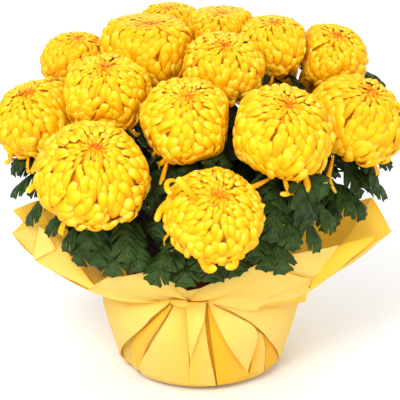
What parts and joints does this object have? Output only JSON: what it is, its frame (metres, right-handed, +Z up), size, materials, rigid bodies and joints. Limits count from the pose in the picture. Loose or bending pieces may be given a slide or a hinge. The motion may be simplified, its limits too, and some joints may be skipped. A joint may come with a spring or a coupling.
{
  "type": "pot chrysanthemum",
  "caption": "Potted chrysanthemum with large globe-shaped incurved blooms in a dome over lobed leaves, its pot in a flared and pinched paper wrap.",
  "frame": {"origin": "centre of the flat foot of the wrap, on the surface that the pot stands on", "axes": "+Z up along the pot's axis, -Y towards the front with the wrap's pinch, +X to the right seen from the front"},
  "size_m": [0.3985, 0.3866, 0.3553],
  "materials": {
    "petal": "satin",
    "leaf": "satin",
    "earth": "matte",
    "pot_plastic": "satin",
    "paper": "matte"
  },
  "bodies": {
    "root": {"bloom_01": "petal", "bloom_02": "petal", "bloom_03": "petal", "bloom_04": "petal", "bloom_05": "petal", "bloom_06": "petal", "bloom_07": "petal", "bloom_08": "petal", "bloom_09": "petal", "bloom_10": "petal", "bloom_11": "petal", "bloom_12": "petal", "bloom_13": "petal", "bloom_14": "petal", "bloom_15": "petal", "bloom_16": "petal", "bloom_17": "petal", "bloom_18": "petal", "bloom_19": "petal", "leafy_stem_1": "leaf", "leafy_stem_2": "leaf", "leafy_stem_3": "leaf", "leafy_stem_4": "leaf", "leafy_stem_5": "leaf", "leafy_stem_6": "leaf", "leafy_stem_7": "leaf", "soil": "earth", "pot": "pot_plastic", "wrap": "paper"}
  },
  "joints": []
}
